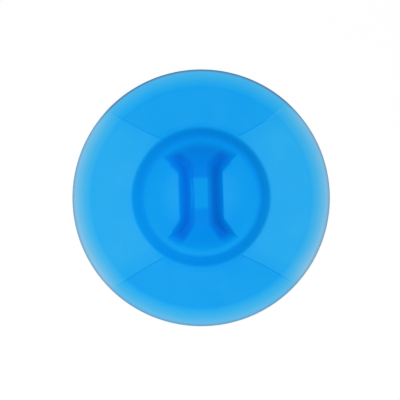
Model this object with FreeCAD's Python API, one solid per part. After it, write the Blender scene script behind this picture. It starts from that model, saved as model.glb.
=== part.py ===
import FreeCAD, Part
import math
import os

# A round silicone drain stopper: a flat cover with a feathered rim, a hollow raised hub and a pinch grip.
# Lengths are millimetres. The underside lies on z = 0, +Z is up and the grip runs along Y.

# Flange, the flat cover round the hub
OUTER_DIAMETER = 150.0
LIP_WIDTH = 12.5
LIP_EDGE_THICKNESS = 0.9
LIP_EDGE_ROUND = 0.3
LIP_SHOULDER = 1.2
WING_THICKNESS = 2.2
PANEL_RISE = 0.4
PANEL_RAMP_LENGTH = 2.0
SEAM_WAIST = 59.0
SEAM_SLOPE_SHARE = 0.82

# Hub, a hollow flat-topped mound with a sloped wall
HUB_TOP_DIAMETER = 70.0
HUB_WALL_RUN = 5.5
HUB_HEIGHT = 9.0
HUB_WALL_THICKNESS = 2.8
HUB_TOP_ROUND = 1.2
HUB_FOOT_ROUND = 5.0
HUB_TOE_LENGTH = 0.4
HUB_RIM_WIDTH = 2.5
DECK_THICKNESS = 3.0
DISH_DEPTH = 1.0

# Grip, a waisted ridge across the hub with a ramp at each end
GRIP_HEIGHT = 18.5
GRIP_WAIST_WIDTH = 26.0
GRIP_WAIST_LENGTH = 25.8
GRIP_TOP_WIDTH = 10.0
GRIP_TOP_ROUND = 1.0
GRIP_BEND_ROUND = 4.0
FLARE_SPREAD_SHARE = 0.84
FLARE_DRAFT_SHARE = 0.84
CROWN_SLOPE_RUN = 9.6
CROWN_ROUND = 21.0
CROWN_FOOT_MARGIN = 2.3

# Core, the grip's hollow underside, and the shallow root that thickens the deck below the grip's walls
GRIP_ROOF_THICKNESS = 3.1
RAMP_THICKNESS = 5.0
FLARE_WALL_THICKNESS = 9.1
CORE_WIDTH = 8.2
CORE_LENGTH = 17.6
CORE_ROUND = 1.5
ROOT_DEPTH = 0.8
ROOT_DIAMETER = 52.0

# Gap between the web and the hub's toe, which rises with the hub
WEB_CLEARANCE = 0.1

# Length by which cutting shapes reach past what they cut
OVERRUN = 2.0

# Sizes that follow from the ones above
panel_thickness = WING_THICKNESS + PANEL_RISE
outer_radius = OUTER_DIAMETER / 2
lip_inner_radius = outer_radius - LIP_WIDTH
hub_top_radius = HUB_TOP_DIAMETER / 2
hub_foot_radius = hub_top_radius + HUB_WALL_RUN
wall_angle = math.atan2(HUB_HEIGHT - WING_THICKNESS, HUB_WALL_RUN)
toe_radius = hub_foot_radius + HUB_FOOT_ROUND * math.tan(wall_angle / 2) + HUB_TOE_LENGTH
web_inner_radius = toe_radius + WEB_CLEARANCE
deck_radius = hub_top_radius - HUB_RIM_WIDTH
deck_underside = HUB_HEIGHT - DECK_THICKNESS
dish_floor = HUB_HEIGHT - DISH_DEPTH
crown_foot_radius = deck_radius - CROWN_FOOT_MARGIN
crown_foot_height = dish_floor + DISH_DEPTH * crown_foot_radius / deck_radius

UP = FreeCAD.Vector(0, 0, 1)
ORIGIN = FreeCAD.Vector(0, 0, 0)


def rounded_outline(corners):
    """Closed wire through corners (point, radius), with an arc at each corner whose radius isn't 0."""
    ends = []
    for place, (point, radius) in enumerate(corners):
        if radius == 0:
            ends.append((point, None, point))
            continue
        back = (corners[place - 1][0] - point).normalize()
        ahead = (corners[(place + 1) % len(corners)][0] - point).normalize()
        half_angle = back.getAngle(ahead) / 2
        reach = radius / math.tan(half_angle)
        inward = (back + ahead).normalize()
        middle = point + inward * (radius / math.sin(half_angle) - radius)
        ends.append((point + back * reach, middle, point + ahead * reach))
    edges = []
    for place, (start, middle, end) in enumerate(ends):
        if middle is not None:
            edges.append(Part.Arc(start, middle, end).toShape())
        edges.append(Part.LineSegment(end, ends[(place + 1) % len(ends)][0]).toShape())
    return Part.Wire(edges)


def turned(*corners):
    """Ring or disc turned about Z from corners (radius, height) or (radius, height, rounding)."""
    points = []
    for corner in corners:
        rounding = corner[2] if len(corner) > 2 else 0
        points.append((FreeCAD.Vector(corner[0], 0, corner[1]), rounding))
    return Part.Face(rounded_outline(points)).revolve(ORIGIN, UP, 360)


def mirrored_in_y(shape):
    """The shape's mirror image on the other side of the XZ plane."""
    return shape.mirror(ORIGIN, FreeCAD.Vector(0, 1, 0))


def upper_region():
    """Upright prism over everything above the upper seam, which is a branch of a hyperbola."""
    waist_point = FreeCAD.Vector(0, SEAM_WAIST / 2, 0)
    side_point = FreeCAD.Vector(SEAM_WAIST / 2 / SEAM_SLOPE_SHARE, 0, 0)
    seam = Part.Hyperbola(waist_point, side_point, ORIGIN)
    reach = math.asinh((outer_radius + OVERRUN) / side_point.x)
    arc = Part.ArcOfHyperbola(seam, -reach, reach).toNurbs().toShape()
    start = arc.valueAt(arc.FirstParameter)
    end = arc.valueAt(arc.LastParameter)
    far_y = outer_radius + OVERRUN
    far_end = FreeCAD.Vector(end.x, far_y, 0)
    far_start = FreeCAD.Vector(start.x, far_y, 0)
    closing = Part.makePolygon([end, far_end, far_start, start])
    outline = Part.Wire([arc] + closing.Edges)
    prism = Part.Face(outline).extrude(UP * (panel_thickness + OVERRUN + OVERRUN))
    prism.translate(-UP * OVERRUN)
    return prism


def lip_ring(rise):
    """Feathered ring that tapers from a flat shoulder to its edge, the given rise above the wings."""
    return turned(
        (lip_inner_radius, 0),
        (outer_radius, 0),
        (outer_radius, LIP_EDGE_THICKNESS + rise, LIP_EDGE_ROUND),
        (lip_inner_radius + LIP_SHOULDER, WING_THICKNESS + rise),
        (lip_inner_radius, WING_THICKNESS + rise),
    )


def sealing_lip(upper, lower):
    """Outer ring, raised between the seams like the panels that it borders."""
    raised = lip_ring(PANEL_RISE)
    ring = lip_ring(0)
    return ring.fuse([raised.common(upper), raised.common(lower)]).removeSplitter()


def panel(region):
    """Thicker part of the web inside one region, with a slope down to the hub's toe."""
    web = turned(
        (web_inner_radius, 0),
        (lip_inner_radius, 0),
        (lip_inner_radius, panel_thickness),
        (web_inner_radius + PANEL_RAMP_LENGTH, panel_thickness),
        (web_inner_radius, WING_THICKNESS),
    )
    return web.common(region)


def wings(upper, lower):
    """Thinner parts of the web, left first."""
    web = turned(
        (web_inner_radius, 0),
        (lip_inner_radius, 0),
        (lip_inner_radius, WING_THICKNESS),
        (web_inner_radius, WING_THICKNESS),
    )
    return sorted(web.cut([upper, lower]).Solids, key=lambda solid: solid.CenterOfMass.x)


def hub_wall():
    """Sloped ring wall with a rounded top edge and a hollow foot, up to the deck's rim."""
    slope_run = 1 / math.tan(wall_angle)
    inner_foot = hub_foot_radius + WING_THICKNESS * slope_run - HUB_WALL_THICKNESS / math.sin(wall_angle)
    return turned(
        (inner_foot, 0),
        (toe_radius, 0),
        (toe_radius, WING_THICKNESS),
        (hub_foot_radius, WING_THICKNESS, HUB_FOOT_ROUND),
        (hub_top_radius, HUB_HEIGHT, HUB_TOP_ROUND),
        (deck_radius, HUB_HEIGHT),
        (deck_radius, deck_underside),
        (inner_foot - deck_underside * slope_run, deck_underside),
    )


def deck():
    """Dished round plate inside the hub's rim."""
    return turned(
        (0, deck_underside),
        (deck_radius, deck_underside),
        (deck_radius, HUB_HEIGHT),
        (0, dish_floor),
    )


def waisted_outline(height, waist_inset, flare_inset):
    """Corners at one height of the grip's foot outline, inset square to its waist and to its flares."""
    side_inset = flare_inset * math.hypot(1, FLARE_SPREAD_SHARE)
    half_width = GRIP_WAIST_WIDTH / 2 - waist_inset
    bend_y = GRIP_WAIST_LENGTH / 2 + (side_inset - waist_inset) / FLARE_SPREAD_SHARE
    end_y = HUB_TOP_DIAMETER
    end_half_width = half_width + (end_y - bend_y) * FLARE_SPREAD_SHARE
    side = [(end_half_width, -end_y), (half_width, -bend_y), (half_width, bend_y), (end_half_width, end_y)]
    other_side = [(-x, -y) for x, y in side]
    return [FreeCAD.Vector(x, y, height) for x, y in side + other_side]


def wall_outline(height):
    """Corners of the grip's side walls at one height, which lean inward as they rise."""
    rise = height - dish_floor
    waist_inset = rise * (GRIP_WAIST_WIDTH - GRIP_TOP_WIDTH) / 2 / (GRIP_HEIGHT - dish_floor)
    return waisted_outline(height, waist_inset, rise * FLARE_DRAFT_SHARE)


def flat_face(points):
    """Face bounded by straight edges through the points."""
    return Part.Face(Part.makePolygon(points + points[:1]))


def footprint():
    """Upright prism of the grip's outline at the floor of the dish, through the whole deck."""
    outline = wall_outline(dish_floor)
    prism = flat_face(outline).extrude(UP * (DISH_DEPTH + OVERRUN))
    return prism.fuse(flat_face(outline).extrude(-UP * dish_floor)).removeSplitter()


def ridge_walls():
    """Solid between the grip's leaning side walls, with rounded bends between waist and flares."""
    outlines = []
    for height in (dish_floor, GRIP_HEIGHT + OVERRUN):
        points = wall_outline(height)
        outlines.append(Part.makePolygon(points + points[:1]))
    walls = Part.makeLoft(outlines, True, True)
    bends = []
    for edge in walls.Edges:
        foot = min((vertex.Point for vertex in edge.Vertexes), key=lambda point: point.z)
        if edge.BoundBox.ZLength > OVERRUN and abs(foot.x) < GRIP_WAIST_WIDTH:
            bends.append(edge)
    return walls.makeFillet(GRIP_BEND_ROUND, bends)


def crown(drop):
    """Turned body below the grip's top, flat in the middle and falling to both ends, lowered by a drop."""
    return turned(
        (0, 0),
        (crown_foot_radius, 0),
        (crown_foot_radius, crown_foot_height - drop),
        (crown_foot_radius - CROWN_SLOPE_RUN, GRIP_HEIGHT - drop, CROWN_ROUND),
        (0, GRIP_HEIGHT - drop),
    )


def ridge():
    """The grip above the deck: leaning side walls under the crown."""
    solid = ridge_walls().common(crown(0)).removeSplitter().Solids[0]
    top_edges = []
    for edge in solid.Edges:
        lowest = min(vertex.Z for vertex in edge.Vertexes)
        turned_line = isinstance(edge.Curve, Part.Circle)
        if not turned_line and lowest > (dish_floor + crown_foot_height) / 2:
            top_edges.append(edge)
    return solid.makeFillet(GRIP_TOP_ROUND, top_edges)


def core():
    """Hollow below the ramps, with a deeper round-cornered slot below the grip's flat top."""
    outline = waisted_outline(0, (GRIP_WAIST_WIDTH - CORE_WIDTH) / 2, FLARE_WALL_THICKNESS)
    hollow = flat_face(outline).extrude(UP * GRIP_HEIGHT).common(crown(RAMP_THICKNESS))
    half_width = CORE_WIDTH / 2
    half_length = CORE_LENGTH / 2
    corners = [(half_width, -half_length), (half_width, half_length)]
    corners += [(-x, -y) for x, y in corners]
    slot_outline = rounded_outline([(FreeCAD.Vector(x, y, 0), CORE_ROUND) for x, y in corners])
    slot = Part.Face(slot_outline).extrude(UP * (GRIP_HEIGHT - GRIP_ROOF_THICKNESS))
    return hollow.fuse(slot)


def root():
    """Shallow round block on the deck's underside, as wide as the grip's foot."""
    low_point = FreeCAD.Vector(0, 0, deck_underside - ROOT_DEPTH)
    return Part.makeCylinder(ROOT_DIAMETER / 2, ROOT_DEPTH, low_point).common(footprint())


def grip_block(plate):
    """The grip, not yet cored, with the strip of deck that it stands on and the root below it."""
    return plate.common(footprint()).fuse([root(), ridge()]).removeSplitter()


def finger_rests(plate, block):
    """D-shaped floors beside the grip, left first."""
    return sorted(plate.cut(block).Solids, key=lambda solid: solid.CenterOfMass.x)


upper = upper_region()
lower = mirrored_in_y(upper)
left_wing, right_wing = wings(upper, lower)
plate = deck()
block = grip_block(plate)
left_finger_rest, right_finger_rest = finger_rests(plate, block)

nodes = {
    "sealing_lip": sealing_lip(upper, lower),
    "upper_panel": panel(upper),
    "lower_panel": panel(lower),
    "left_wing": left_wing,
    "right_wing": right_wing,
    "hub_wall": hub_wall(),
    "left_finger_rest": left_finger_rest,
    "right_finger_rest": right_finger_rest,
    "grip": block.cut(core()),
}

os.makedirs("parts", exist_ok=True)
for name, shape in nodes.items():
    shape.exportStep(f"parts/{name}.step")
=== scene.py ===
import math

import bmesh
import bpy
import numpy as np
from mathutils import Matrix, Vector

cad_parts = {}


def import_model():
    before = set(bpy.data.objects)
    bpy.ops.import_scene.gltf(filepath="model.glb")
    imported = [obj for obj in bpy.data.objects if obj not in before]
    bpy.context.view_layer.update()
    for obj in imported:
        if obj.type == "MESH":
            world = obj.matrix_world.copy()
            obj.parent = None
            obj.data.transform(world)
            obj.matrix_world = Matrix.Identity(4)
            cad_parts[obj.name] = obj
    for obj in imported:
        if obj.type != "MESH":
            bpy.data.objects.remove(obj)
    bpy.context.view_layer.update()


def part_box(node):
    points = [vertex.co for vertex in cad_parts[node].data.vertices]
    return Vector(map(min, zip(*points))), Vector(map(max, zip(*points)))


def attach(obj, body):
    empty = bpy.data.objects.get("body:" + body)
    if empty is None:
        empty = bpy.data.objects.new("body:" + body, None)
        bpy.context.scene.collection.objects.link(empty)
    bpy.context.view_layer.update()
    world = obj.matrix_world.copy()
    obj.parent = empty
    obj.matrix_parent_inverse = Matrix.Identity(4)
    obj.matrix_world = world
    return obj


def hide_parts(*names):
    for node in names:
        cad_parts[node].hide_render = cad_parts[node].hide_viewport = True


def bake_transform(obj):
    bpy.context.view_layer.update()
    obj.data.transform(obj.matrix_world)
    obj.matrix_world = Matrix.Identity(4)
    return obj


# A round drain stopper of milky blue silicone, seen from above on white.
# Lengths are metres. The underside lies on z = 0, +Z is up and the grip runs along Y.

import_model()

# Sizes read from the frame
outer_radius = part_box("sealing_lip")[1].y
wing_low, wing_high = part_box("right_wing")
panel_low, panel_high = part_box("upper_panel")
hub_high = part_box("hub_wall")[1]
rest_low, rest_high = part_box("right_finger_rest")
grip_low, grip_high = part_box("grip")
lip_inner_radius = wing_high.x
wing_top = wing_high.z
panel_rise = panel_high.z - wing_top
toe_radius = hub_high.y
hub_top = hub_high.z
deck_radius = grip_high.y
deck_underside = rest_low.z
grip_top = grip_high.z
grip_waist = rest_low.x

# The seams between panels and wings are hyperbolas through the corners of the panels and the wings
seam_slope = math.sqrt((wing_high.y**2 - panel_low.y**2) / (panel_high.x**2 - wing_low.x**2))
seam_waist = math.sqrt(panel_low.y**2 - (seam_slope * wing_low.x) ** 2)

# Flange
LIP_EDGE_THICKNESS = 0.0009
LIP_EDGE_ROUND = 0.0007
LIP_BEAD_OFFSET = 0.0016
LIP_BEAD_WIDTH = 0.0010
LIP_BEAD_HEIGHT = 0.00006
LIP_SHOULDER = 0.0012
LIP_TILT = 0.00015
LIP_TILT_RUN = 0.0060
SEAM_RAMP = 0.0004
SEAM_STEP_SHARE = 0.5
WING_HOLLOW_RUN = 0.0120
LIP_SEAM_RAMP = 0.0070
SEAM_END_RADIUS = 0.0600

# Hub
HUB_TOP_RADIUS = 0.0350
HUB_WALL_RUN = 0.0055
HUB_SIDE_NARROWING = 0.0006
HUB_LOW_WIDENING = 0.0008
HUB_WALL_THICKNESS = 0.0029
HUB_TOP_ROUND = 0.0013
HUB_FOOT_ROUND = 0.0024
DISH_DEPTH = 0.0010
RIM_ROUND = 0.0002
HOLLOW_ROUND = 0.0024
ROUND_SKEW_SHARE = 0.93
DECK_SKEW = 0.0003
DECK_SKEW_START = 0.0260

# Grip
GRIP_TOP_HALF_WIDTH = 0.0047
GRIP_WAIST_HALF_LENGTH = 0.0130
GRIP_TOP_ROUND = 0.0003
GRIP_BEND_ROUND = 0.0130
GRIP_CREASE_ROUND = 0.0002
FLARE_SKEW_SHARE = 0.13
FLARE_DRAFT_SHARE = 0.93
CROWN_SLOPE_RUN = 0.0054
CROWN_FOOT_MARGIN = 0.0009
CROWN_ROUND = 0.0220
CROWN_FOOT_ROUND = 0.0040
GRIP_ROOF_THICKNESS = 0.0032
RAMP_THICKNESS = 0.0052
RAMP_SKEW_SHARE = 0.10
CORE_HALF_WIDTH = 0.0045
CORE_HALF_LENGTH = 0.0090
CORE_SHIFT = 0.0010
CORE_STEP_RUN = 0.0005
CORE_FLARE_INSET = 0.0091
CORE_DRAFT_SHARE = 0.002
CORE_ROUND = 0.0036
ROOT_RAMP = 0.0003
ROOT_END_RADIUS = 0.0275
ROOT_END_RAMP = 0.0030

# Lines along which the silicone's depth is measured, and the painted shade lines along the seams and round
# the rim, with a painted highlight where the upper right seam crosses the lip
PROBE_STEP = 0.0003
PROBE_STEPS = 30
# The depth lines lean toward the upper side as light from the lower side would, so a little of the light's
# direction is painted into the colour: painted light and shade
PROBE_LIGHT_LEAN = math.radians(4.5)
PROBE_TILT = math.radians(12.5)
PROBE_COUNT = 6
REFRACTION_SHARE = 0.71
NORMAL_STEP = 0.00005
SEAM_LINE_WIDTH = 0.0003
SEAM_SHADE_DEPTH = 0.0005
SEAM_LINE_START = 0.0390
SEAM_LINE_END = 0.0670
SEAM_LINE_FADE = 0.0070
SEAM_HIGHLIGHT_START = 0.0560
RIM_SHADE_WIDTH = 0.0020
RIM_SHADE_FAINT_SHARE = 0.5
FULL_DEPTH = 0.0120

# How fine the meshes are
SHARP_ANGLE = math.radians(35)
MERGE_DISTANCE = 1e-6
END_CLUSTER_SHARE = 0.93
SECTOR_COLUMNS = 130
WEB_ROWS = 40
LIP_ROWS = 40
HUB_ROWS = 48
REST_ROWS = 110
REST_COLUMNS = 70
GRIP_ROWS = 150
GRIP_COLUMNS = 150

# Each sector of the flange: half turns and sign of the seam's angle at its start and at its end
SECTORS = {
    "right_wing": (0, -1, 0, 1),
    "upper_panel": (0, 1, 1, -1),
    "left_wing": (1, -1, 1, 1),
    "lower_panel": (1, 1, 2, -1),
}

# Colour of the silicone by its depth in metres: milky where it is thin and a strong blue where it is deep.
# The thinnest stops are also greyed a little, a painted shade of the floor in shadow seen through the lip
TONES = (
    (0.0000, (0.40, 0.60, 0.72)),
    (0.0009, (0.28, 0.55, 0.75)),
    (0.0013, (0.13, 0.49, 0.79)),
    (0.0017, (0.056, 0.45, 0.815)),
    (0.0022, (0.021, 0.405, 0.85)),
    (0.0027, (0.0045, 0.342, 0.84)),
    (0.0034, (0.0012, 0.295, 0.825)),
    (0.0046, (0.0004, 0.245, 0.81)),
    (0.0064, (0.0003, 0.202, 0.77)),
    (0.0090, (0.0002, 0.158, 0.71)),
    (0.0120, (0.0002, 0.11, 0.68)),
)
# Painted shade: the dark colour of the line painted round the rim
RIM_SHADE_COLOUR = (0.075, 0.17, 0.36, 1)
CLOUD_SCALE = 60.0
CLOUD_DETAIL = 3.0
CLOUD_SHARE = 0.06
GRAIN_SCALE = 1400.0
GRAIN_DETAIL = 2.0
GRAIN_HEIGHT = 0.00001
ROUGHNESS_LOW = 0.42
ROUGHNESS_HIGH = 0.58
SPECULAR_LEVEL = 0.02

# Places and strengths of the floor, the light and the camera
FLOOR_HALF_SIZE = 2.0
FLOOR_CORNER_SIGNS = ((-1, -1), (1, -1), (1, 1), (-1, 1))
FLOOR_GAP = 0.00005
FLOOR_COLOUR = (0.99, 0.99, 0.99, 1)
FLOOR_GLOW_SHARE = 0.8
WORLD_STRENGTH = 0.58
SOFTBOX_PLACE = Vector((-0.25, -0.25, 1.40))
SOFTBOX_SIZE = 0.8
SOFTBOX_POWER = 10.2
CAMERA_DISTANCE = 0.80
CAMERA_TILT = math.radians(4.5)
CAMERA_ROLL = math.radians(-1.8)
CAMERA_TARGET = Vector((-0.0007, -0.0018, 0.001))
FRAME_WIDTH = 0.2328

# Sizes that follow
wall_slope = (hub_top - wing_top) / HUB_WALL_RUN
hollow_radius = HUB_TOP_RADIUS + hub_top / wall_slope - HUB_WALL_THICKNESS * math.hypot(1, 1 / wall_slope)
dish_floor = hub_top - DISH_DEPTH
crown_foot_radius = deck_radius - CROWN_FOOT_MARGIN
crown_foot_height = dish_floor + DISH_DEPTH * crown_foot_radius / deck_radius
crown_slope = (grip_top - crown_foot_height) / CROWN_SLOPE_RUN
waist_run = grip_waist - GRIP_TOP_HALF_WIDTH
flare_run = FLARE_DRAFT_SHARE * (grip_top - dish_floor)
flare_reach = math.sqrt(deck_radius**2 - rest_high.y**2) - grip_waist
flare_spread = flare_reach / (rest_high.y - GRIP_WAIST_HALF_LENGTH)
core_top = grip_top - GRIP_ROOF_THICKNESS
root_depth = deck_underside - grip_low.z


def smooth_step(share):
    share = np.clip(share, 0, 1)
    return share * share * (3 - 2 * share)


def smooth_min(first, second, width):
    """The lower of two heights, with the corner between them rounded over a height of width."""
    share = np.clip(0.5 + (second - first) / (2 * width), 0, 1)
    return second + (first - second) * share - width * share * (1 - share)


def smooth_max(first, second, width):
    return -smooth_min(-first, -second, width)


# The silicone's upper and lower surfaces as heights over the plan

def seam_distance(x, y):
    """Distance from the nearest seam, positive on the panels' side."""
    seam_y = np.sqrt(seam_waist**2 + (seam_slope * x) ** 2)
    return (np.abs(y) - seam_y) / np.hypot(1, seam_slope**2 * x / seam_y)


def panel_height(x, y):
    """How far the flange stands above the wings' middle: it rises to the seams and steps up at them."""
    fading = smooth_step((np.hypot(x, y) - SEAM_END_RADIUS) / (outer_radius - SEAM_END_RADIUS))
    ramp = SEAM_RAMP + (LIP_SEAM_RAMP - SEAM_RAMP) * fading
    distance = seam_distance(x, y)
    step = smooth_step(0.5 + distance / ramp)
    hollow = smooth_step(1 + distance / WING_HOLLOW_RUN)
    return panel_rise * (SEAM_STEP_SHARE * step + (1 - SEAM_STEP_SHARE) * hollow)


def flange_height(x, y):
    radius = np.hypot(x, y)
    taper_start = lip_inner_radius + LIP_SHOULDER
    taper = np.clip((radius - taper_start) / (outer_radius - taper_start), 0, 1)
    bead = (radius - lip_inner_radius - LIP_BEAD_OFFSET) / LIP_BEAD_WIDTH
    height = wing_top + panel_height(x, y) - (wing_top - LIP_EDGE_THICKNESS) * taper
    height = height + LIP_BEAD_HEIGHT * np.exp(-(bead**2))
    height = height + LIP_TILT * y / outer_radius * smooth_step((radius - lip_inner_radius) / LIP_TILT_RUN)
    over_edge = np.clip(radius - (outer_radius - LIP_EDGE_ROUND), 0, LIP_EDGE_ROUND)
    return height - LIP_EDGE_ROUND + np.sqrt(LIP_EDGE_ROUND**2 - over_edge**2)


def side_spread(y):
    """Slope of the flare's foot in the plan, wider on the upper side."""
    return flare_spread * (1 + FLARE_SKEW_SHARE * np.sign(y))


def flare_foot(y):
    return grip_waist + side_spread(y) * (np.abs(y) - GRIP_WAIST_HALF_LENGTH)


def flare_room(x, y):
    """Distance inward from the foot of the grip's flared walls."""
    return (flare_foot(y) - np.abs(x)) / np.hypot(1, side_spread(y))


def grip_wall_height(x, y):
    """Walls that lean inward from the dish's floor to the grip's top, with a bend that widens upward."""
    waist_share = (grip_waist - np.abs(x)) / waist_run
    flare_share = flare_room(x, y) / flare_run
    rise = grip_top - dish_floor
    bend = GRIP_CREASE_ROUND + GRIP_BEND_ROUND * np.clip(np.maximum(waist_share, flare_share), 0, 1)
    return smooth_max(dish_floor + rise * waist_share, dish_floor + rise * flare_share, bend)


def crown_height(radius):
    slope = crown_foot_height + (crown_foot_radius - radius) * crown_slope
    return smooth_min(grip_top, slope, CROWN_ROUND)


def skewed(rounding, y):
    """A rounding of the hub's edge, larger on the upper side and smaller on the lower one."""
    return rounding * (1 + ROUND_SKEW_SHARE * np.clip(y / deck_radius, -1, 1))


def low_widening(y):
    """How much further out the hub's edge lies, on the lower side."""
    return HUB_LOW_WIDENING * np.clip(-y / deck_radius, 0, 1) ** 2


def hub_height(x, y):
    radius = np.hypot(x, y)
    plate = smooth_min(hub_top, dish_floor + DISH_DEPTH * radius / deck_radius, RIM_ROUND)
    widening = low_widening(y)
    run = HUB_WALL_RUN - HUB_SIDE_NARROWING * np.clip(x / HUB_TOP_RADIUS, -1, 1) ** 2 - widening
    wall = hub_top - (radius - HUB_TOP_RADIUS - widening) * (hub_top - wing_top) / run
    rise = smooth_min(plate, wall, skewed(HUB_TOP_ROUND, y))
    shell = smooth_max(wing_top + panel_height(x, y), rise, HUB_FOOT_ROUND)
    crown = smooth_max(shell, crown_height(radius), CROWN_FOOT_ROUND)
    ridge = smooth_min(crown, grip_wall_height(x, y), GRIP_TOP_ROUND)
    return smooth_max(shell, ridge, GRIP_CREASE_ROUND)


def top_height(x, y):
    return np.where(np.hypot(x, y) < toe_radius, hub_height(x, y), flange_height(x, y))


def core_height(x, y):
    """Height of the core below the grip: drafted walls along its outline and a roof below the crown."""
    in_middle = smooth_step(0.5 + (CORE_HALF_LENGTH - np.abs(y - CORE_SHIFT)) / CORE_STEP_RUN)
    ramp_thickness = RAMP_THICKNESS * (1 + RAMP_SKEW_SHARE * np.sign(y))
    thickness = ramp_thickness + (GRIP_ROOF_THICKNESS - ramp_thickness) * in_middle
    roof = crown_height(np.hypot(x, y)) - thickness
    room = np.maximum(CORE_HALF_WIDTH - np.abs(x), flare_room(x, y) - CORE_FLARE_INSET)
    return smooth_min(roof, core_top + room / CORE_DRAFT_SHARE, CORE_ROUND)


def under_height(x, y):
    """The hub's hollow, the shallow root that the grip's walls stand on, and the core between them."""
    radius = np.hypot(x, y)
    room = np.maximum(grip_waist - np.abs(x), flare_room(x, y))
    root = root_depth * smooth_step(room / ROOT_RAMP)
    root = root * smooth_step((ROOT_END_RADIUS - radius) / ROOT_END_RAMP)
    upward = np.clip(y / deck_radius, -1, 1)
    skew = DECK_SKEW * upward * smooth_step((radius - DECK_SKEW_START) / (deck_radius - DECK_SKEW_START))
    deck = deck_underside - root - skew
    run = deck_underside / wall_slope - low_widening(y)
    hollow = smooth_min((hollow_radius - radius) * deck_underside / run, deck, skewed(HOLLOW_ROUND, y))
    return smooth_max(np.maximum(hollow, 0), core_height(x, y), CORE_ROUND)


# How deep the silicone is below each point, which sets how blue it looks

def top_normals(x, y):
    slope_x = (top_height(x + NORMAL_STEP, y) - top_height(x - NORMAL_STEP, y)) / (2 * NORMAL_STEP)
    slope_y = (top_height(x, y + NORMAL_STEP) - top_height(x, y - NORMAL_STEP)) / (2 * NORMAL_STEP)
    normals = np.stack([-slope_x, -slope_y, np.ones_like(x)], axis=-1)
    return normals / np.linalg.norm(normals, axis=-1, keepdims=True)


def inside_length(points, directions):
    """Length that a line from each point runs in the silicone."""
    length = np.zeros(len(points))
    inside = np.ones(len(points))
    for step in range(PROBE_STEPS):
        x, y, z = (points + directions * PROBE_STEP * (step + 0.5)).T
        above = np.clip(0.5 + (z - under_height(x, y)) / PROBE_STEP, 0, 1)
        below = np.clip(0.5 + (top_height(x, y) - z) / PROBE_STEP, 0, 1)
        inside = np.minimum(inside, above * below)
        length += inside * PROBE_STEP
    return length


def bent_down(normals):
    """Ways that light from above and the lower side takes inside, below surfaces with these normals."""
    falling = np.array([0, math.sin(PROBE_LIGHT_LEAN), -math.cos(PROBE_LIGHT_LEAN)])
    facing = -(normals @ falling)[:, None]
    bend = REFRACTION_SHARE * facing - np.sqrt(1 - REFRACTION_SHARE**2 * (1 - facing**2))
    return REFRACTION_SHARE * falling + bend * normals


def seam_shade_depths(points):
    """Extra depth along the seams that paints a thin dark line of shade on each, in the colour and not in
    the shape. On the lip the upper right one turns negative and paints a thin light line instead, a painted
    highlight.
    """
    x, y, _ = points.T
    radii = np.hypot(x, y)
    # Painted shade: a thin dark line along each seam, carried as extra depth
    ridge = np.exp(-((seam_distance(x, y) / SEAM_LINE_WIDTH) ** 2))
    ridge *= smooth_step((radii - SEAM_LINE_START) / (toe_radius - SEAM_LINE_START))
    ridge *= 1 - smooth_step((radii - SEAM_LINE_END) / SEAM_LINE_FADE)
    # Painted highlight: on the lip the upper right line turns light
    highlight_turn = smooth_step((radii - SEAM_HIGHLIGHT_START) / (lip_inner_radius - SEAM_HIGHLIGHT_START))
    return SEAM_SHADE_DEPTH * ridge * np.where((x > 0) & (y > 0), 1 - 2 * highlight_turn, 1)


def depth_shares(points):
    """Mean depth of silicone along a cone of lines below each upper point, as a share of the full depth."""
    down = bent_down(top_normals(points[:, 0], points[:, 1]))
    across = np.cross(down, [0.0, 1.0, 0.0])
    across /= np.linalg.norm(across, axis=1, keepdims=True)
    along = np.cross(down, across)
    depths = [inside_length(points, down)]
    for turn in range(PROBE_COUNT):
        angle = math.tau * turn / PROBE_COUNT
        sideways = across * math.cos(angle) + along * math.sin(angle)
        tilted = sideways * math.sin(PROBE_TILT) + down * math.cos(PROBE_TILT)
        depths.append(inside_length(points, tilted) * math.cos(PROBE_TILT))
    return (np.mean(depths, axis=0) + seam_shade_depths(points)) / FULL_DEPTH


def rim_shade_shares(points):
    """How much of the rim's painted shade line shows at each upper point: a dark line painted at the edge,
    strongest along the upper panel, on the side away from the light.
    """
    x, y, _ = points.T
    on_panel = np.where(y > 0, panel_height(x, y) / panel_rise, 0)
    strength = RIM_SHADE_FAINT_SHARE + (1 - RIM_SHADE_FAINT_SHARE) * on_panel
    return strength * smooth_step(1 - (outer_radius - np.hypot(x, y)) / RIM_SHADE_WIDTH)


# Meshes

def mesh_object(name, points, tints, faces):
    """A smooth closed mesh whose points carry the named tints."""
    mesh = bpy.data.meshes.new(name)
    mesh.from_pydata(points.tolist(), [], faces)
    for tint, values in tints.items():
        mesh.attributes.new(tint, "FLOAT", "POINT").data.foreach_set("value", values.astype(np.float32))
    shape = bmesh.new()
    shape.from_mesh(mesh)
    bmesh.ops.remove_doubles(shape, verts=shape.verts, dist=MERGE_DISTANCE)
    bmesh.ops.recalc_face_normals(shape, faces=shape.faces)
    for face in shape.faces:
        face.smooth = True
    shape.to_mesh(mesh)
    shape.free()
    mesh.set_sharp_from_angle(angle=SHARP_ANGLE)
    piece = bpy.data.objects.new(name, mesh)
    bpy.context.scene.collection.objects.link(piece)
    return piece


def grid_faces(rows, columns, wraps):
    """Quads over a grid of numbered points, row by row."""
    last = columns if wraps else columns - 1
    return [
        (
            row * columns + column,
            row * columns + (column + 1) % columns,
            (row + 1) * columns + (column + 1) % columns,
            (row + 1) * columns + column,
        )
        for row in range(rows - 1)
        for column in range(last)
    ]


def border_faces(loop, count):
    """Side faces that join a closed loop of upper points to the lower points count places on."""
    return [(a, b, b + count, a + count) for a, b in zip(loop, loop[1:] + loop[:1])]


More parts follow.
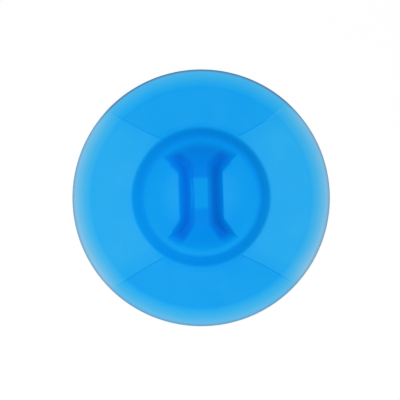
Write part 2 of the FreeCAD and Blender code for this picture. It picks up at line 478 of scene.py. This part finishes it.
def plate(name, x, y, wraps):
    """A closed piece between the upper and lower surfaces over a grid of plan points."""
    rows, columns = x.shape
    count = rows * columns
    upper = np.stack([x, y, top_height(x, y)], axis=-1).reshape(count, 3)
    lower = np.stack([x, y, under_height(x, y)], axis=-1).reshape(count, 3)
    tints = {"depth": np.tile(depth_shares(upper), 2), "rim": np.tile(rim_shade_shares(upper), 2)}
    faces = grid_faces(rows, columns, wraps)
    faces += [tuple(corner + count for corner in face) for face in faces]
    numbers = np.arange(count).reshape(rows, columns)
    if wraps:
        faces += border_faces(numbers[0].tolist(), count)
        faces += border_faces(numbers[-1].tolist(), count)
    else:
        faces += border_faces(patch_border(numbers).tolist(), count)
    return mesh_object(name, np.concatenate([upper, lower]), tints, faces)


def patch_border(grid):
    """The grid's outer entries in order round it."""
    return np.concatenate([grid[0], grid[1:, -1], grid[-1, -2::-1], grid[-2:0:-1, 0]])


def clustered(count):
    """Shares from 0 to 1 that lie close together near both ends."""
    shares = np.linspace(0, 1, count)
    return shares - END_CLUSTER_SHARE * np.sin(math.tau * shares) / math.tau


def seam_angle(radius):
    """Angle from +X at which the first seam crosses a circle."""
    x = np.sqrt((radius**2 - seam_waist**2) / (1 + seam_slope**2))
    return np.arccos(x / radius)


def sector_angles(radii, start_turns, start_sign, end_turns, end_sign, count):
    """Angles from seam to seam on each circle: an end is some half turns plus or minus the seam's angle."""
    seam = seam_angle(radii)[:, None]
    start = start_turns * math.pi + start_sign * seam
    end = end_turns * math.pi + end_sign * seam
    return start + (end - start) * clustered(count)[None, :]


def web_piece(name):
    radii = np.linspace(toe_radius, lip_inner_radius, WEB_ROWS)
    angles = sector_angles(radii, *SECTORS[name], SECTOR_COLUMNS)
    return plate(name + "_skin", radii[:, None] * np.cos(angles), radii[:, None] * np.sin(angles), False)


def round_plan(radii):
    """Grid of plan points all the way round on circles, with columns along the seams."""
    angles = [sector_angles(radii, *ends, SECTOR_COLUMNS)[:, :-1] for ends in SECTORS.values()]
    angles = np.concatenate(angles, axis=1)
    return radii[:, None] * np.cos(angles), radii[:, None] * np.sin(angles)


def lip_piece():
    turn = np.sin(np.linspace(0, math.pi / 2, LIP_ROWS))
    radii = lip_inner_radius + (outer_radius - lip_inner_radius) * turn
    return plate("sealing_lip_skin", *round_plan(radii), True)


def hub_wall_piece():
    radii = np.linspace(deck_radius, toe_radius, HUB_ROWS)
    return plate("hub_wall_skin", *round_plan(radii), True)


def corner_angle(way):
    """Angle from X to the corner of the flare's foot on the deck's circle, for way 1 up or -1 down."""
    spread = side_spread(way)
    start_x = grip_waist - spread * GRIP_WAIST_HALF_LENGTH
    return np.arccos(start_x / (deck_radius * np.hypot(1, spread))) - np.arctan(spread)


def finger_rest_piece(name, side):
    low, high = -corner_angle(-1), corner_angle(1)
    angles = np.linspace(low, high, REST_ROWS)[:, None]
    inner_y = deck_radius * np.linspace(np.sin(low), np.sin(high), REST_ROWS)[:, None]
    inner_x = np.maximum(grip_waist, flare_foot(inner_y))
    outward = clustered(REST_COLUMNS)[None, :]
    x = inner_x + (deck_radius * np.cos(angles) - inner_x) * outward
    y = inner_y + (deck_radius * np.sin(angles) - inner_y) * outward
    return plate(name, side * x, y, False)


def grip_plan():
    """Grid of plan points over the grip's foot, from side to side and to the deck's circle at both ends."""
    across = 2 * clustered(GRIP_COLUMNS)[None, :] - 1
    along = np.linspace(-1, 1, GRIP_ROWS)[:, None]
    corner = corner_angle(np.sign(along))
    end_angle = (math.pi / 2 - corner) * across
    foot_y = deck_radius * np.sin(corner) * along
    side_x = np.maximum(grip_waist, flare_foot(foot_y)) * across
    end_x = deck_radius * (np.sin(end_angle) - np.cos(corner) * across)
    return side_x + end_x * np.abs(along), deck_radius * np.cos(end_angle) * along


def grip_piece():
    return plate("grip_skin", *grip_plan(), False)


# Material

def silicone():
    """Milky silicone whose blue deepens with its depth, a little uneven, with a matte grain and a painted
    shade line round the rim.
    """
    material = bpy.data.materials.new("blue_silicone")
    material.use_nodes = True
    nodes = material.node_tree.nodes
    link = material.node_tree.links.new
    shader = nodes["Principled BSDF"]
    shader.inputs["Specular IOR Level"].default_value = SPECULAR_LEVEL

    place = nodes.new("ShaderNodeTexCoord")
    cloud = nodes.new("ShaderNodeTexNoise")
    cloud.inputs["Scale"].default_value = CLOUD_SCALE
    cloud.inputs["Detail"].default_value = CLOUD_DETAIL
    link(place.outputs["Object"], cloud.inputs["Vector"])
    uneven = nodes.new("ShaderNodeMapRange")
    uneven.inputs["To Min"].default_value = 1 - CLOUD_SHARE
    uneven.inputs["To Max"].default_value = 1 + CLOUD_SHARE
    link(cloud.outputs["Fac"], uneven.inputs["Value"])

    depth = nodes.new("ShaderNodeAttribute")
    depth.attribute_name = "depth"
    seen = nodes.new("ShaderNodeMath")
    seen.operation = "MULTIPLY"
    link(depth.outputs["Fac"], seen.inputs[0])
    link(uneven.outputs["Result"], seen.inputs[1])
    tone = nodes.new("ShaderNodeValToRGB")
    stops = tone.color_ramp.elements
    while len(stops) < len(TONES):
        stops.new(1)
    for stop, (stop_depth, colour) in zip(stops, TONES):
        stop.position = stop_depth / FULL_DEPTH
        stop.color = (*colour, 1)
    link(seen.outputs["Value"], tone.inputs["Fac"])
    # Painted shade: a dark line round the rim, mixed over the base colour
    rim = nodes.new("ShaderNodeAttribute")
    rim.attribute_name = "rim"
    shaded_at_rim = nodes.new("ShaderNodeMixRGB")
    shaded_at_rim.inputs["Color2"].default_value = RIM_SHADE_COLOUR
    link(rim.outputs["Fac"], shaded_at_rim.inputs["Fac"])
    link(tone.outputs["Color"], shaded_at_rim.inputs["Color1"])
    link(shaded_at_rim.outputs["Color"], shader.inputs["Base Color"])

    grain = nodes.new("ShaderNodeTexNoise")
    grain.inputs["Scale"].default_value = GRAIN_SCALE
    grain.inputs["Detail"].default_value = GRAIN_DETAIL
    link(place.outputs["Object"], grain.inputs["Vector"])
    gloss = nodes.new("ShaderNodeMapRange")
    gloss.inputs["To Min"].default_value = ROUGHNESS_LOW
    gloss.inputs["To Max"].default_value = ROUGHNESS_HIGH
    link(grain.outputs["Fac"], gloss.inputs["Value"])
    link(gloss.outputs["Result"], shader.inputs["Roughness"])
    bump = nodes.new("ShaderNodeBump")
    bump.inputs["Distance"].default_value = GRAIN_HEIGHT
    link(grain.outputs["Fac"], bump.inputs["Height"])
    link(bump.outputs["Normal"], shader.inputs["Normal"])
    return material


# Pieces, with the lip and the hub's pieces on their bodies

def dress(piece, node, material):
    piece.data.materials.append(material)
    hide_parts(node)


def dome(piece):
    """Set the web's transform into its points and read the points out. Nothing here bends the web."""
    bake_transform(piece)
    points = np.zeros(3 * len(piece.data.vertices), np.float32)
    piece.data.vertices.foreach_get("co", points)


blue_silicone = silicone()
lip = lip_piece()
dress(lip, "sealing_lip", blue_silicone)
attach(lip, "flange")
for web_name in SECTORS:
    web = web_piece(web_name)
    dress(web, web_name, blue_silicone)
    dome(web)
hub_pieces = {
    "hub_wall": hub_wall_piece(),
    "left_finger_rest": finger_rest_piece("left_finger_rest_skin", -1),
    "right_finger_rest": finger_rest_piece("right_finger_rest_skin", 1),
    "grip": grip_piece(),
}
for node_name, hub_piece in hub_pieces.items():
    dress(hub_piece, node_name, blue_silicone)
    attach(hub_piece, "hub")


# Floor, light and camera

def shown_to_eye(nodes, link):
    """A node output: 1 for camera, glossy and transmission rays, and 0 for rays that light the object."""
    path = nodes.new("ShaderNodeLightPath")
    either = nodes.new("ShaderNodeMath")
    either.operation = "MAXIMUM"
    link(path.outputs["Is Camera Ray"], either.inputs[0])
    link(path.outputs["Is Glossy Ray"], either.inputs[1])
    any_of_three = nodes.new("ShaderNodeMath")
    any_of_three.operation = "MAXIMUM"
    link(either.outputs["Value"], any_of_three.inputs[0])
    link(path.outputs["Is Transmission Ray"], any_of_three.inputs[1])
    return any_of_three.outputs["Value"]


def floor():
    mesh = bpy.data.meshes.new("floor")
    corners = [(x * FLOOR_HALF_SIZE, y * FLOOR_HALF_SIZE, -FLOOR_GAP) for x, y in FLOOR_CORNER_SIGNS]
    mesh.from_pydata(corners, [], [(0, 1, 2, 3)])
    ground = bpy.data.objects.new("floor", mesh)
    bpy.context.scene.collection.objects.link(ground)
    material = bpy.data.materials.new("floor")
    material.use_nodes = True
    nodes = material.node_tree.nodes
    link = material.node_tree.links.new
    nodes.clear()
    matte = nodes.new("ShaderNodeBsdfDiffuse")
    matte.inputs["Color"].default_value = FLOOR_COLOUR
    white = nodes.new("ShaderNodeEmission")
    share = nodes.new("ShaderNodeMath")
    share.operation = "MULTIPLY"
    share.inputs[1].default_value = FLOOR_GLOW_SHARE
    link(shown_to_eye(nodes, link), share.inputs[0])
    mix = nodes.new("ShaderNodeMixShader")
    link(share.outputs["Value"], mix.inputs["Fac"])
    link(matte.outputs["BSDF"], mix.inputs[1])
    link(white.outputs["Emission"], mix.inputs[2])
    output = nodes.new("ShaderNodeOutputMaterial")
    link(mix.outputs["Shader"], output.inputs["Surface"])
    mesh.materials.append(material)


def world():
    """White where it is seen, and a plain even light on the object."""
    surroundings = bpy.data.worlds.new("studio")
    bpy.context.scene.world = surroundings
    surroundings.use_nodes = True
    nodes = surroundings.node_tree.nodes
    link = surroundings.node_tree.links.new
    strength = nodes.new("ShaderNodeMapRange")
    strength.inputs["To Min"].default_value = WORLD_STRENGTH
    strength.inputs["To Max"].default_value = 1.0
    link(shown_to_eye(nodes, link), strength.inputs["Value"])
    background = nodes["Background"]
    background.inputs["Color"].default_value = (1, 1, 1, 1)
    link(strength.outputs["Result"], background.inputs["Strength"])


def softbox():
    """A large square light overhead, a little to the lower left, that faces the object."""
    lamp = bpy.data.lights.new("softbox", "AREA")
    lamp.size = SOFTBOX_SIZE
    lamp.energy = SOFTBOX_POWER
    light = bpy.data.objects.new("softbox", lamp)
    light.location = SOFTBOX_PLACE
    light.rotation_euler = SOFTBOX_PLACE.to_track_quat("Z", "Y").to_euler()
    bpy.context.scene.collection.objects.link(light)


def camera():
    lens = bpy.data.cameras.new("camera")
    lens.lens = lens.sensor_width * CAMERA_DISTANCE / FRAME_WIDTH
    eye = bpy.data.objects.new("camera", lens)
    backward = Vector((0, -math.sin(CAMERA_TILT), math.cos(CAMERA_TILT)))
    eye.location = CAMERA_TARGET + CAMERA_DISTANCE * backward
    eye.rotation_euler = (CAMERA_TILT, 0, 0)
    eye.rotation_euler.rotate_axis("Z", CAMERA_ROLL)
    bpy.context.scene.collection.objects.link(eye)
    bpy.context.scene.camera = eye


floor()
world()
softbox()
camera()
bpy.context.scene.view_settings.view_transform = "Standard"
